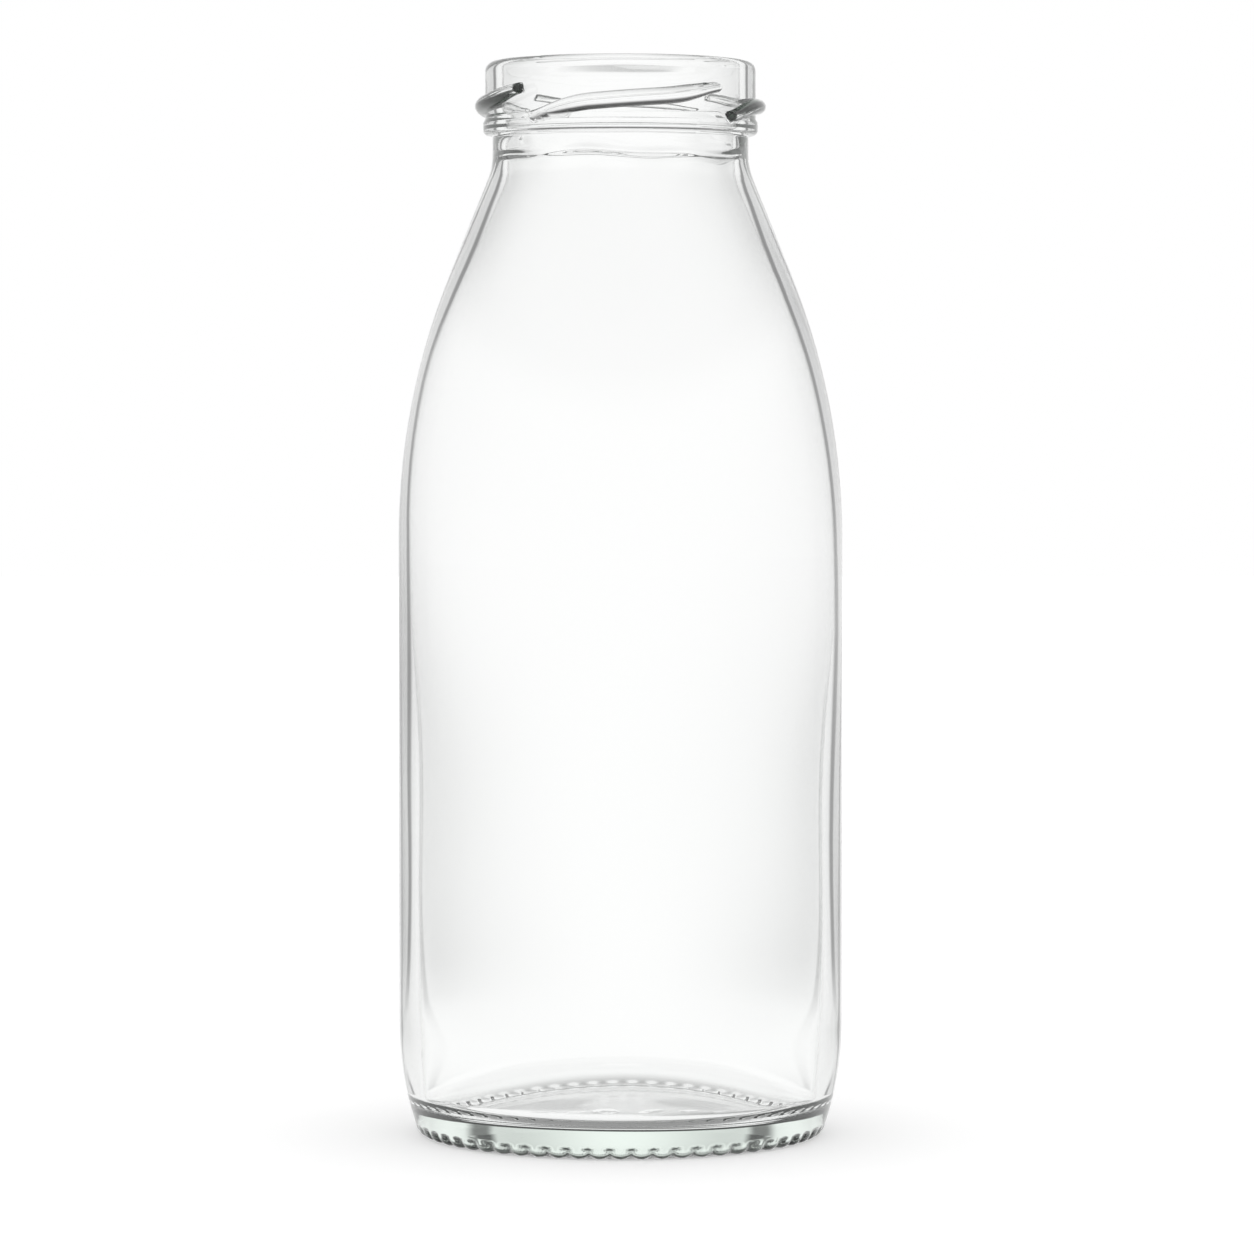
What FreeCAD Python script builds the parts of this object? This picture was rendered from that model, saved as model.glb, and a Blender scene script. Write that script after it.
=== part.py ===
import FreeCAD, Part
import Sketcher
import os

# Glass bottle with a wide lug-thread finish. Millimetres and degrees, +Z up, +X to the right.
# The origin is the centre of the base, on the surface that the bottle stands on.
# The bottle is one moulding. It is divided here at level planes into the regions of its moulds,
# which meet face to face: base, body wall, shoulder, neck, transfer bead, finish wall and lugs.
SIZES = {
    "total_height": 178.0,        # standing surface to the lip's top
    "body_radius": 36.9,          # outside of the straight side
    "wall_low": 3.1,              # side wall near the base
    "wall_high": 1.7,             # side wall under the shoulder, and the shoulder itself
    "wall_low_top": 52.0,         # level up to which the side wall keeps its low thickness
    "wall_thin_drop": 10.0,       # the wall is at its thinnest this far under the shoulder
    "heel_height": 18.0,          # level where the heel's curve meets the straight side
    "heel_arc": 50.0,             # radius of the heel's curve
    "heel_round": 2.2,            # rounding between the heel and the bearing ring
    "bearing_width": 4.0,         # width of the flat ring that the bottle stands on
    "push_up_rim": 1.4,           # height of the step from the bearing ring to the push-up
    "push_up": 2.6,               # height of the push-up under the centre
    "floor_corner": 4.6,          # lowest level of the inside, round the floor's edge
    "floor_centre": 6.0,          # level of the inside at the centre
    "corner_round": 5.0,          # inside rounding between wall and floor
    "knurl_count": 60.0,          # grooves across the bearing ring
    "knurl_depth": 0.4,
    "knurl_round": 1.2,           # radius of each groove
    "shoulder_arc": 116.5,        # radius of the convex shoulder
    "shoulder_slope": 22.0,       # steepest lean of the shoulder, from upright
    "neck_arc": 12.0,             # radius of the concave curve into the neck
    "neck_inset": 1.2,            # the neck is this much slimmer than the finish, by radius
    "neck_wall": 2.85,
    "neck_straight": 2.9,         # upright stretch between the curve and the bead
    "bead_reach": 0.35,           # how far the transfer bead stands out under the finish
    "bead_height": 2.3,
    "bead_round": 0.7,            # rounding of the bead's lower edge
    "finish_radius": 22.4,        # outside of the wall that carries the lugs
    "finish_wall": 2.7,
    "finish_height": 9.8,         # bead's top to the lip's top
    "lip_round_out": 1.5,
    "lip_round_in": 1.0,
    "lug_count": 4.0,
    "lug_span": 85.0,             # angle that one lug covers
    "lug_reach": 1.7,             # how far a lug stands out of its wall
    "lug_width": 2.7,             # height of a lug's section
    "lug_low_drop": 10.2,         # lug's centre line at its low end, under the lip's top
    "lug_flat_drop": 7.9,         # the same where the steep entry turns into the shallow run
    "lug_run_drop": 7.0,          # the same where the shallow run ends
    "lug_high_drop": 4.9,         # the same at the high end
    "lug_entry": 26.0,            # angle of the steep entry, from the low end
    "lug_run_end": 54.0,          # angle where the shallow run ends
    "lug_turn": -40.0,            # direction of the first lug's low end, from the front
}

doc = FreeCAD.newDocument("bottle")


def make_sheet():
    """The driving dimensions, one to a row."""
    sheet = doc.addObject("Spreadsheet::Sheet", "dims")
    for row, (name, value) in enumerate(SIZES.items(), start=1):
        sheet.set(f"A{row}", name)
        sheet.set(f"B{row}", str(value))
        sheet.setAlias(f"B{row}", name)
    doc.recompute()
    return sheet


# Levels and radii that several pieces share, as expressions of the sheet's cells.
NECK_RADIUS = "(dims.finish_radius - dims.neck_inset)"
BEAD_RADIUS = "(dims.finish_radius + dims.bead_reach)"
FINISH_FOOT = "(dims.total_height - dims.finish_height)"
BEAD_FOOT = f"({FINISH_FOOT} - dims.bead_height)"
NECK_CURVE_TOP = f"({BEAD_FOOT} - dims.neck_straight)"
NECK_FOOT = f"({NECK_CURVE_TOP} - dims.neck_arc * sin(dims.shoulder_slope))"
NECK_FOOT_RADIUS = f"({NECK_RADIUS} + dims.neck_arc * (1 - cos(dims.shoulder_slope)))"
CURVE_TOP_RADIUS = "(dims.body_radius - dims.shoulder_arc * (1 - cos(dims.shoulder_slope)))"
CURVE_TOP = f"({NECK_FOOT} - ({CURVE_TOP_RADIUS} - {NECK_FOOT_RADIUS}) / tan(dims.shoulder_slope))"
SHOULDER_FOOT = f"({CURVE_TOP} - dims.shoulder_arc * sin(dims.shoulder_slope))"
NECK_BORE = f"({NECK_RADIUS} - dims.neck_wall)"
NECK_CURVE_BORE_ARC = "(dims.neck_arc + dims.neck_wall)"
NECK_FOOT_BORE = (f"({NECK_RADIUS} + dims.neck_arc - sqrt({NECK_CURVE_BORE_ARC}^2"
                  " - (dims.neck_arc * sin(dims.shoulder_slope))^2))")
MOUTH_BORE = "(dims.finish_radius - dims.finish_wall)"
BODY_BORE_LOW = "(dims.body_radius - dims.wall_low)"
BODY_BORE_HIGH = "(dims.body_radius - dims.wall_high)"
SHOULDER_BORE_ARC = "(dims.shoulder_arc - dims.wall_high)"
HEEL_CENTRE = "(dims.body_radius - dims.heel_arc)"
HEEL_ROUND_ARC = "(dims.heel_arc - dims.heel_round)"
BEARING_OUTER = f"({HEEL_CENTRE} + sqrt({HEEL_ROUND_ARC}^2 - (dims.heel_height - dims.heel_round)^2))"
BEARING_INNER = f"({BEARING_OUTER} - dims.bearing_width)"
PUSH_UP_EDGE = f"({BEARING_INNER} - dims.push_up_rim)"


def plane(body, role):
    """One of the body's own origin planes."""
    return next(feature for feature in body.Origin.OriginFeatures if feature.Role == role)


def new_body(name, level):
    """A body whose own zero level stands at the given level of the bottle."""
    body = doc.addObject("PartDesign::Body", name)
    body.Label = name
    body.setExpression("Placement.Base.z", level)
    return body


def circle_middle(start, end, radius, side):
    """A point halfway along the arc between two points; side +1 bulges to the left of start to end."""
    chord = end - start
    across = FreeCAD.Vector(-chord.y, chord.x, 0).normalize() * side
    half = chord.Length / 2
    rise = abs(radius) - (radius * radius - half * half) ** 0.5
    return (start + end) / 2 + across * rise


def outline(body, name, corners):
    """A closed outline in the upright XZ plane: each corner is (radius, level, arc to the next).

    The arc is None for a straight edge, or (radius, side) for a round one.
    Every corner and every arc's radius is bound to the sheet.
    """
    sketch = body.newObject("Sketcher::SketchObject", name)
    sketch.AttachmentSupport = [(plane(body, "XZ_Plane"), "")]
    sketch.MapMode = "FlatFace"
    points = [FreeCAD.Vector(sketch.evalExpression(r), sketch.evalExpression(z), 0) for r, z, _ in corners]
    for index, (_, _, arc) in enumerate(corners):
        start = points[index]
        end = points[(index + 1) % len(points)]
        if arc is None:
            sketch.addGeometry(Part.LineSegment(start, end))
            continue
        radius, side = arc
        middle = circle_middle(start, end, sketch.evalExpression(radius), side)
        sketch.addGeometry(Part.Arc(start, middle, end))
    bind_outline(sketch, corners, points)
    return sketch


def bind_outline(sketch, corners, points):
    """Join the outline's edges end to end and tie each corner and arc to its expression."""
    starts = [edge_start(sketch, index, point) for index, point in enumerate(points)]
    for index, start in enumerate(starts):
        after = (index + 1) % len(points)
        sketch.addConstraint(Sketcher.Constraint("Coincident", index, 3 - start, after, starts[after]))
    for index, (radius_text, level_text, arc) in enumerate(corners):
        bind_corner(sketch, index, starts[index], points[index], radius_text, level_text)
        if arc is not None:
            number = sketch.addConstraint(
                Sketcher.Constraint("Radius", index, sketch.evalExpression(arc[0])))
            sketch.setExpression(f"Constraints[{number}]", arc[0])


def edge_start(sketch, index, point):
    """Which end of an edge, 1 or 2, lies at the given point: arcs are stored counter-clockwise."""
    near = (sketch.getPoint(index, 1) - point).Length < (sketch.getPoint(index, 2) - point).Length
    return 1 if near else 2


def bind_corner(sketch, index, end, point, radius_text, level_text):
    """Hold one corner at its distance from the axis and from the body's zero level."""
    for kind, value, text in (("DistanceX", point.x, radius_text), ("DistanceY", point.y, level_text)):
        if text == "0":
            onto = -2 if kind == "DistanceX" else -1
            sketch.addConstraint(Sketcher.Constraint("PointOnObject", index, end, onto))
            continue
        number = sketch.addConstraint(Sketcher.Constraint(kind, -1, 1, index, end, value))
        sketch.setExpression(f"Constraints[{number}]", text)


def turn(body, name, corners):
    """Revolve a closed outline once round the bottle's axis."""
    sketch = outline(body, name + "_outline", corners)
    doc.recompute()
    revolution = body.newObject("PartDesign::Revolution", name + "_turned")
    revolution.Profile = sketch
    revolution.ReferenceAxis = (sketch, ["V_Axis"])
    revolution.Angle = 360
    body.Tip = revolution
    doc.recompute()
    return revolution


def make_base():
    """Heel, bearing ring and floor, with the hollow push-up underneath and the knurled ring."""
    body = new_body("base", "0")
    share = f"(dims.heel_arc / {HEEL_ROUND_ARC})"
    meet_radius = f"({HEEL_CENTRE} + ({BEARING_OUTER} - {HEEL_CENTRE}) * {share})"
    meet_level = f"(dims.heel_height + (dims.heel_round - dims.heel_height) * {share})"
    floor_edge = f"({BODY_BORE_LOW} - dims.corner_round)"
    floor_rise = "(dims.floor_centre - dims.floor_corner)"
    push_rise = "(dims.push_up - dims.push_up_rim)"
    turn(body, "base", [
        ("0", "dims.push_up", (dome(PUSH_UP_EDGE, push_rise), +1)),
        (PUSH_UP_EDGE, "dims.push_up_rim", None),
        (BEARING_INNER, "0", None),
        (BEARING_OUTER, "0", ("dims.heel_round", -1)),
        (meet_radius, meet_level, ("dims.heel_arc", -1)),
        ("dims.body_radius", "dims.heel_height", None),
        (BODY_BORE_LOW, "dims.heel_height", None),
        (BODY_BORE_LOW, "(dims.floor_corner + dims.corner_round)", ("dims.corner_round", +1)),
        (floor_edge, "dims.floor_corner", (dome(floor_edge, floor_rise), -1)),
        ("0", "dims.floor_centre", None),
    ])
    knurl(body)
    return body


def dome(edge, rise):
    """Radius of the sphere that rises by rise from a circle of radius edge, as an expression."""
    return f"(({edge}^2 + {rise}^2) / (2 * {rise}))"


def knurl(body):
    """Shallow round grooves across the bearing ring, evenly spaced, from the step outwards."""
    whole = body.Tip.Shape.Volume
    sketch = body.newObject("Sketcher::SketchObject", "knurl_outline")
    sketch.AttachmentSupport = [(plane(body, "YZ_Plane"), "")]
    sketch.MapMode = "FlatFace"
    sketch.setExpression("AttachmentOffset.Base.z", PUSH_UP_EDGE)
    radius = sketch.evalExpression("dims.knurl_round")
    drop = sketch.evalExpression("dims.knurl_round - dims.knurl_depth")
    sketch.addGeometry(Part.Circle(FreeCAD.Vector(0, -drop, 0), FreeCAD.Vector(0, 0, 1), radius))
    sketch.addConstraint(Sketcher.Constraint("PointOnObject", 0, 3, -2))
    number = sketch.addConstraint(Sketcher.Constraint("Radius", 0, radius))
    sketch.setExpression(f"Constraints[{number}]", "dims.knurl_round")
    number = sketch.addConstraint(Sketcher.Constraint("DistanceY", 0, 3, -1, 1, drop))
    sketch.setExpression(f"Constraints[{number}]", "dims.knurl_round - dims.knurl_depth")
    doc.recompute()
    groove = body.newObject("PartDesign::Pocket", "knurl_groove")
    groove.Profile = sketch
    groove.Type = 0
    groove.Reversed = True
    groove.setExpression("Length", f"dims.body_radius - {PUSH_UP_EDGE}")
    doc.recompute()
    if groove.Shape.Volume >= whole:
        groove.Reversed = False
        doc.recompute()
    if groove.Shape.Volume >= whole:
        raise RuntimeError("the knurl groove cuts nothing")
    ring = body.newObject("PartDesign::PolarPattern", "knurls")
    ring.Originals = [groove]
    ring.Axis = (plane(body, "Z_Axis"), [""])
    ring.Angle = 360
    ring.setExpression("Occurrences", "dims.knurl_count")
    body.Tip = ring
    doc.recompute()


def make_body_wall():
    """Straight side, thick below, thinning towards the shoulder."""
    body = new_body("body_wall", "dims.heel_height")
    top = f"({SHOULDER_FOOT} - dims.heel_height)"
    turn(body, "body_wall", [
        (BODY_BORE_LOW, "0", None),
        ("dims.body_radius", "0", None),
        ("dims.body_radius", top, None),
        (BODY_BORE_HIGH, top, None),
        (BODY_BORE_HIGH, f"({top} - dims.wall_thin_drop)", None),
        (BODY_BORE_LOW, "(dims.wall_low_top - dims.heel_height)", None),
    ])
    return body


def make_shoulder():
    """Long convex shoulder that runs into a straight cone."""
    body = new_body("shoulder", SHOULDER_FOOT)
    bore_centre = "(dims.body_radius - dims.shoulder_arc)"
    curve_rise = "(dims.shoulder_arc * sin(dims.shoulder_slope))"
    foot_rise = f"({NECK_FOOT} - {SHOULDER_FOOT})"
    bore_radius = f"({bore_centre} + {SHOULDER_BORE_ARC} * cos(dims.shoulder_slope))"
    bore_rise = f"({SHOULDER_BORE_ARC} * sin(dims.shoulder_slope))"
    turn(body, "shoulder", [
        (BODY_BORE_HIGH, "0", None),
        ("dims.body_radius", "0", ("dims.shoulder_arc", -1)),
        (CURVE_TOP_RADIUS, curve_rise, None),
        (NECK_FOOT_RADIUS, foot_rise, None),
        (NECK_FOOT_BORE, foot_rise, None),
        (bore_radius, bore_rise, (SHOULDER_BORE_ARC, +1)),
    ])
    return body


def make_neck():
    """Concave curve and the short upright neck above it."""
    body = new_body("neck", NECK_FOOT)
    curve_top = "(dims.neck_arc * sin(dims.shoulder_slope))"
    top = f"({curve_top} + dims.neck_straight)"
    turn(body, "neck", [
        (NECK_FOOT_BORE, "0", None),
        (NECK_FOOT_RADIUS, "0", ("dims.neck_arc", +1)),
        (NECK_RADIUS, curve_top, None),
        (NECK_RADIUS, top, None),
        (NECK_BORE, top, None),
        (NECK_BORE, curve_top, (NECK_CURVE_BORE_ARC, -1)),
    ])
    return body


def make_transfer_bead():
    """Ring under the finish, by which the moulding is carried; its bore widens to the mouth."""
    body = new_body("transfer_bead", BEAD_FOOT)
    turn(body, "transfer_bead", [
        (NECK_BORE, "0", None),
        (f"({BEAD_RADIUS} - dims.bead_round)", "0", ("dims.bead_round", -1)),
        (BEAD_RADIUS, "dims.bead_round", None),
        (BEAD_RADIUS, "dims.bead_height", None),
        (MOUTH_BORE, "dims.bead_height", None),
    ])
    return body


def make_finish_wall():
    """Wall that carries the lugs, with the rounded lip on top."""
    body = new_body("finish_wall", FINISH_FOOT)
    top = "dims.finish_height"
    turn(body, "finish_wall", [
        (MOUTH_BORE, "0", None),
        ("dims.finish_radius", "0", None),
        ("dims.finish_radius", f"({top} - dims.lip_round_out)", ("dims.lip_round_out", -1)),
        ("(dims.finish_radius - dims.lip_round_out)", top, None),
        (f"({MOUTH_BORE} + dims.lip_round_in)", top, ("dims.lip_round_in", -1)),
        (MOUTH_BORE, f"({top} - dims.lip_round_in)", None),
    ])
    return body


def lug_section(angle, level, root, crest, width):
    """One lug's section: a bar with a round nose, in the upright plane at this angle."""
    half = width / 2
    nose = crest - half
    corners = [(root, -half), (nose, -half), (crest, 0), (nose, half), (root, half)]
    turned = FreeCAD.Rotation(FreeCAD.Vector(0, 0, 1), angle)
    points = [turned.multVec(FreeCAD.Vector(radius, 0, level + up)) for radius, up in corners]
    edges = [
        Part.LineSegment(points[0], points[1]).toShape(),
        Part.Arc(points[1], points[2], points[3]).toShape(),
        Part.LineSegment(points[3], points[4]).toShape(),
        Part.LineSegment(points[4], points[0]).toShape(),
    ]
    return Part.Wire(edges)


def lug_path(sheet):
    """Angle from the low end, and drop under the lip, where the lug's slope changes."""
    return [
        (0.0, sheet.lug_low_drop),
        (sheet.lug_entry, sheet.lug_flat_drop),
        (sheet.lug_run_end, sheet.lug_run_drop),
        (sheet.lug_span, sheet.lug_high_drop),
    ]


def lug_level(sheet, angle):
    """Level of the lug's centre line over the finish's foot, at an angle from the low end."""
    path = lug_path(sheet)
    for (low, low_drop), (high, high_drop) in zip(path, path[1:]):
        if angle <= high:
            share = (angle - low) / (high - low)
            return sheet.finish_height - low_drop - share * (high_drop - low_drop)
    return sheet.finish_height - sheet.lug_high_drop


def make_thread_lugs(sheet):
    """Equal lugs round the finish wall, each a bar that climbs anticlockwise seen from above.

    A lug is lofted with too deep a root, then cut back to the wall and to the bead under it.
    """
    root = sheet.finish_radius - sheet.finish_wall / 2
    crest = sheet.finish_radius + sheet.lug_reach
    steps = 17
    sections = []
    for step in range(steps + 1):
        angle = sheet.lug_span * step / steps
        tip = crest if 0 < step < steps else crest - sheet.lug_reach / 2
        level = lug_level(sheet, angle)
        sections.append(lug_section(sheet.lug_turn + angle - 90, level, root, tip, sheet.lug_width))
    bar = Part.makeLoft(sections, True, True)
    down = FreeCAD.Vector(0, 0, -sheet.finish_height)
    wall = Part.makeCylinder(sheet.finish_radius, 2 * sheet.finish_height, down)
    bead = Part.makeCylinder(sheet.finish_radius + sheet.bead_reach, sheet.finish_height, down)
    bar = bar.cut(wall.fuse(bead))
    count = int(sheet.lug_count)
    bars = []
    for number in range(count):
        copy = bar.copy()
        copy.rotate(FreeCAD.Vector(0, 0, 0), FreeCAD.Vector(0, 0, 1), 360.0 * number / count)
        bars.extend(copy.Solids)
    lugs = doc.addObject("Part::Feature", "thread_lugs")
    lugs.Label = "thread_lugs"
    lugs.Shape = Part.makeCompound(bars)
    foot = FreeCAD.Vector(0, 0, sheet.total_height - sheet.finish_height)
    lugs.Placement = FreeCAD.Placement(foot, FreeCAD.Rotation())
    return lugs


def check(pieces):
    """Stop if any object failed, or a piece is missing or not a valid shape."""
    for item in doc.Objects:
        if "Invalid" in item.State or "Error" in item.State:
            raise RuntimeError(f"{item.Name} failed: {item.State}")
    for piece in pieces:
        if piece.Shape.isNull() or not piece.Shape.isValid():
            raise RuntimeError(f"{piece.Label} has no valid shape")


def main():
    sheet = make_sheet()
    pieces = [
        make_base(),
        make_body_wall(),
        make_shoulder(),
        make_neck(),
        make_transfer_bead(),
        make_finish_wall(),
        make_thread_lugs(sheet),
    ]
    doc.recompute()
    check(pieces)
    os.makedirs("parts", exist_ok=True)
    for piece in pieces:
        piece.Shape.exportStep(f"parts/{piece.Label}.step")
        box = piece.Shape.optimalBoundingBox()
        print(f"{piece.Label}: {len(piece.Shape.Solids)} solids, {piece.Shape.Volume / 1000:.2f} cm3, "
              f"radius {box.XMax:.2f}, z {box.ZMin:.2f} to {box.ZMax:.2f}")


main()
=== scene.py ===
"""A clear moulded glass milk bottle on a white sweep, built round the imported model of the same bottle.

The glass is one closed surface, because the real bottle is one moulding: a profile is carried round the
bottle's axis, and the lugs, knurls, mould marks and the unevenness of the glass are added along its normals.
"""

import math

import bpy
import numpy as np
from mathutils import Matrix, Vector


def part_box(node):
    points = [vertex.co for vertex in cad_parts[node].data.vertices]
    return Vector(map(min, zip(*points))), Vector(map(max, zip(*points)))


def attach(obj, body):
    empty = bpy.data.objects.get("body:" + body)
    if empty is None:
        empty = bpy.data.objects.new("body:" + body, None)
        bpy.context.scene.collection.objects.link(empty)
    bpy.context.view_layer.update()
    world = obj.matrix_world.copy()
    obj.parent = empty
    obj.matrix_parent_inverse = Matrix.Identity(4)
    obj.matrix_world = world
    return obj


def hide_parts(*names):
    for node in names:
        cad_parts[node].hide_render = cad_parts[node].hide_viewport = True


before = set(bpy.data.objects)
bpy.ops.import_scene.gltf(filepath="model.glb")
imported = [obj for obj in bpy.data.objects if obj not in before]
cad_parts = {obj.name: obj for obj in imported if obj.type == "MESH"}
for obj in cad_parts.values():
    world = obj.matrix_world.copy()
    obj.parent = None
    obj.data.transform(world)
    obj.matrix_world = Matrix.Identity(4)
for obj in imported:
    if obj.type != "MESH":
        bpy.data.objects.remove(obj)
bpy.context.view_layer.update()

bl_info = {
    "name": "Glass milk bottle",
    "version": (1, 0, 0),
    "blender": (4, 5, 0),
    "location": "3D View > Sidebar > Bottle",
    "description": "Clear moulded glass bottle with a lug finish, on a white sweep",
    "category": "Object",
}

MM = 0.001
NODES = ("base", "body_wall", "shoulder", "neck", "transfer_bead", "finish_wall", "thread_lugs")

# Rows and columns of points
COLUMNS = 300                        # round the plain stretches
FINE_COLUMNS = 600                   # round the knurled ring and the finish
LUG_ROWS = 19                        # rows that follow a lug
LUG_MARGIN = 1.05                    # they reach this many half widths from the lug's centre line
ROW_STEP = 0.02 * MM                 # least rise from one row of the lug wall to the next
BEAD_GAP = 0.3 * MM                  # from the transfer bead's top edge to the nearest rows
RING_REACH = 1.6 * MM                # crowded rows above and below the ring inside the neck

# Profiles
CROWN = 0.03 * MM                    # the bearing ring touches the floor along its middle only
CREASE = math.radians(-72)           # where the floor's rounding stops short of level
BORE_EASE = 2.6 * MM                 # height over the transfer bead where the straight bore starts
BORE_FADE = 4 * MM                   # depth under the transfer bead where it has turned into the neck
CONE_LEAD = 3 * MM                   # the inside's rows are close together down to this far into the cone

# Lugs and knurls
LUG_EASE = 16                        # degrees over which a lug's centre line is averaged
LUG_GROWTH = (24, 20)                # degrees over which its section grows from the low and the high end
KNURL_START = (-0.5 * MM, 0.3 * MM)  # from the bearing ring's edge: where the knurls start and are full
KNURL_FADE = (1.3 * MM, 2.2 * MM)    # levels where they start to fade and are gone
SEAM_HALF = 0.6 * MM                 # half width of a mould seam
SEAM_FADE = (3 * MM, 6 * MM)         # levels between which the seams grow

# Mould marks, by their place across the bottle
MARK_RING = (-2.4 * MM, 1.2 * MM)    # place and radius
MARK_DOT = -7.4 * MM                 # place
MARK_STRETCH = 0.5                   # ring and dot are twice as long from front to back as across
STROKE_HALF = 2.4 * MM               # half the length of a stroke
STROKES = ((-13.4 * MM, 0.12), (4.6 * MM, 0.3), (11.0 * MM, 0.0), (17.4 * MM, 0.3))    # place and lean

# Unevenness of the blown inside: sine waves, each with its height, its count round the bottle and its start
WAVES = ((1.0, 2, 0.4, 1.3), (0.7, 3, 1.9, -2.1), (0.5, 5, 2.6, 3.7), (0.6, 0, 0.8, 4.4))    # last: climb
WAVE_RISE = 40 * MM                  # height up the bottle for which the climb is given
WAVE_CALM = (10 * MM, 25 * MM)       # radii between which the waves grow from the floor's centre
RING_HALF = 0.6 * MM                 # half width of the ring inside the neck
RING_SWAY = ((0.3 * MM, 3, 0.9), (0.2 * MM, 7, 2.2))
RING_SWELL = ((0.3, 4, 1.1), (0.3, 9, 0.0))
NECK_WAVES = ((6, 1.3 * MM, 0.7), (4, -2.2 * MM, 2.0))    # count, height for one radian, start
NECK_WAVE_SHARE = 0.4                # their height, as a share of the ring's
NECK_WAVE_START = (-1 * MM, 3 * MM)  # from the shoulder's top: where they start and are full
NECK_WAVE_END = (-1.5 * MM, 0.5 * MM)    # from the neck's top: where they start to fade and are gone

# Glass: the scuffs of the bearing ring
SCUFF_EDGES = (0.35, 0.65)           # noise values where a patch starts and is full
SCUFF_LEAST = 0.2                    # share of the roughness between the patches

# Studio, as glass shows it; on the floor its lights, cards and dimming are painted light and shade
LIGHTS = 8                           # soft lights round the bottle, and as many dark cards
CARD_DARKENS = (-0.85, -0.62)        # a card's edges, as the cosine of four times the turn
CARD_LIGHTENS = (-0.43, -0.22)
# Painted light and shade: the lights and cards are painted on the floor as glass shows it
PAINTED_CARDS_GROWTH = 4.0                    # on the floor, they are full this many times further out
CEILING_EDGES = (0.3, 0.56)          # height in a direction of length 1 where the ceiling darkens
BEHIND_EDGES = (0.5, 0.75)           # depth in a direction of length 1 where it counts as behind
# Painted shade: the floor as glass shows it is darker where it is seen steeply down, fully near the bottle
PAINTED_SHADE_EDGES = (0.2, 0.45)              # facing values where the floor is dimmest and where it is plain
PAINTED_SHADE_FADE = 2.0                       # the dimness has faded this many times further out
PAINTED_SHADE_LEFT = 0.3                       # to this share of itself
# Painted shade: the studio as glass shows it darkens after several reflections in the glass
PAINTED_DEPTH_SHADE_EDGES = (1.4, 3.4)              # reflections after which the studio starts to dim and is dimmest


def top_of(node):
    """Level of a CAD node's top, in metres."""
    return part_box(node)[1].z


def radius_of(node):
    """Largest radius of a CAD node, in metres."""
    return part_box(node)[1].x


def length(label, about, default):
    """A length property, in metres."""
    return bpy.props.FloatProperty(name=label, description=about, default=default, unit="LENGTH", precision=5)


def number(label, about, default):
    return bpy.props.FloatProperty(name=label, description=about, default=default, precision=4)


def count(label, about, default):
    return bpy.props.IntProperty(name=label, description=about, default=default, min=1)


def angle(label, about, degrees):
    """An angle property; Blender keeps it in radians."""
    default = math.radians(degrees)
    return bpy.props.FloatProperty(name=label, description=about, default=default, subtype="ANGLE")


def colour(label, about, default):
    return bpy.props.FloatVectorProperty(
        name=label, description=about, default=default, size=len(default), subtype="COLOR", min=0.0, max=1.0)


class BottleBody(bpy.types.PropertyGroup):
    """Outline of the bottle from its base to its neck."""

    body_radius: length("Body radius", "Outside of the straight side", radius_of("body_wall"))
    heel_top: length("Heel top", "Level where the heel meets the straight side", top_of("base"))
    side_top: length("Side top", "Level where the shoulder starts", top_of("body_wall"))
    cone_top: length("Cone top", "Level where the shoulder's cone ends", top_of("shoulder"))
    neck_top: length("Neck top", "Level of the transfer bead's lower edge", top_of("neck"))
    heel_arc: length("Heel arc", "Radius of the heel's curve", 50 * MM)
    heel_round: length("Heel rounding", "Rounding between heel and bearing ring", 2.2 * MM)
    foot_top: length("Foot top", "Level where the knurled foot has faded out", 2.7 * MM)
    shoulder_arc: length("Shoulder arc", "Radius of the convex shoulder", 116.5 * MM)
    shoulder_slope: angle("Shoulder slope", "Steepest lean of the shoulder from upright", 22)
    neck_arc: length("Neck arc", "Radius of the concave curve into the neck", 12 * MM)
    neck_inset: length("Neck inset", "How much slimmer than the finish the neck is", 1.2 * MM)
    wall_low: length("Low wall", "Wall near the base", 3.1 * MM)
    wall_high: length("High wall", "Wall under and over the shoulder's start", 1.7 * MM)
    wall_neck: length("Neck wall", "Wall of the neck", 2.85 * MM)
    thinning_low: length("Thinning starts", "Level where the wall starts to thin", 50 * MM)
    thinning_high: length("Thinning ends", "Level where the wall is at its thinnest", 92 * MM)
    thickening: length("Thickening starts", "Level where the wall starts to thicken to the neck", 126 * MM)
    ripple: length("Ripple", "Unevenness of the blown inside", 0.07 * MM)
    neck_ripple: length("Neck ripple", "Unevenness of the inside of the neck", 0.26 * MM)
    neck_ring: length("Neck ring", "Level of the ring inside the neck", 162.3 * MM)
    seam: length("Mould seam", "Height of the two upright mould seams", 0.05 * MM)


class BottleBase(bpy.types.PropertyGroup):
    """Bearing ring, push-up and floor."""

    bearing_width: length("Bearing width", "Width of the ring that the bottle stands on", 4 * MM)
    push_up_rim: length("Push-up rim", "Height of the step inside the bearing ring", 1.4 * MM)
    push_up: length("Push-up", "Height of the hollow under the centre", 1.9 * MM)
    floor_edge: length("Floor edge", "Level of the inside at the floor's edge", 4.9 * MM)
    floor_centre: length("Floor centre", "Level of the inside at the centre", 5.5 * MM)
    corner_width: length("Corner width", "Reach of the inside rounding on the floor", 5.2 * MM)
    corner_height: length("Corner height", "Reach of the inside rounding up the wall", 3.0 * MM)
    knurls: count("Knurls", "Ridges round the bearing ring", 60)
    knurl_depth: length("Knurl depth", "Depth of the grooves between the knurls", 0.6 * MM)
    mark_height: length("Mark height", "How far the mould marks stand out", 0.5 * MM)
    mark_width: length("Mark width", "Width of a mould mark's stroke", 0.7 * MM)


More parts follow.
